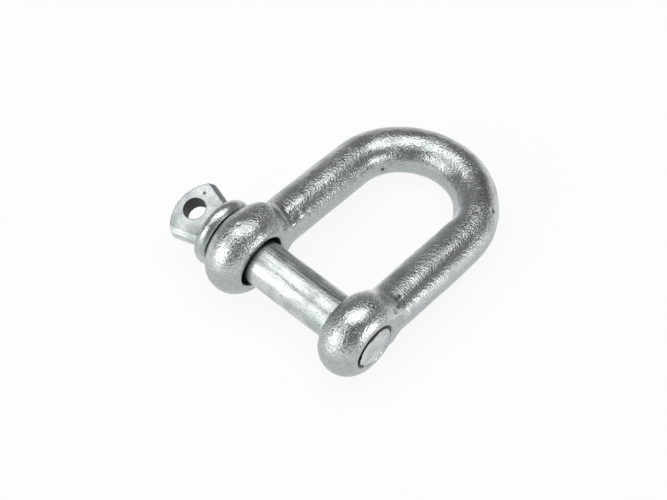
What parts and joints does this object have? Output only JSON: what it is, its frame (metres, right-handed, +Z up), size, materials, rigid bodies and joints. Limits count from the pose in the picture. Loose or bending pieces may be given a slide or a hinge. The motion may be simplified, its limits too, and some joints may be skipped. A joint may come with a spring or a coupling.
{
  "type": "screw pin dee shackle",
  "caption": "Galvanised dee shackle for joining chain: a forged bow with bulbous lugs, closed by a collared screw pin whose flat fishtail tab has an eye.",
  "frame": {"origin": "on the pin's axis, midway between the two arms of the bow", "axes": "+X along the pin from its head to its threaded tip, +Y towards the crown of the bow, +Z up with the shackle lying on its lugs and crown"},
  "size_m": [0.0839, 0.0996, 0.0312],
  "materials": {
    "bow_zinc": "forged steel, hot-dip galvanised, mottled satin zinc",
    "pin_zinc": "forged and turned steel, galvanised, smoother satin zinc with fine lengthwise scratches on the shank"
  },
  "bodies": {
    "bow": {"bow": "bow_zinc"},
    "pin": {"screw_pin": "pin_zinc"}
  },
  "joints": [
    {"name": "pin_withdraw", "type": "slide", "parent": "bow", "child": "pin", "axis": [-1, 0, 0], "range_m": [0, 0.064]}
  ]
}
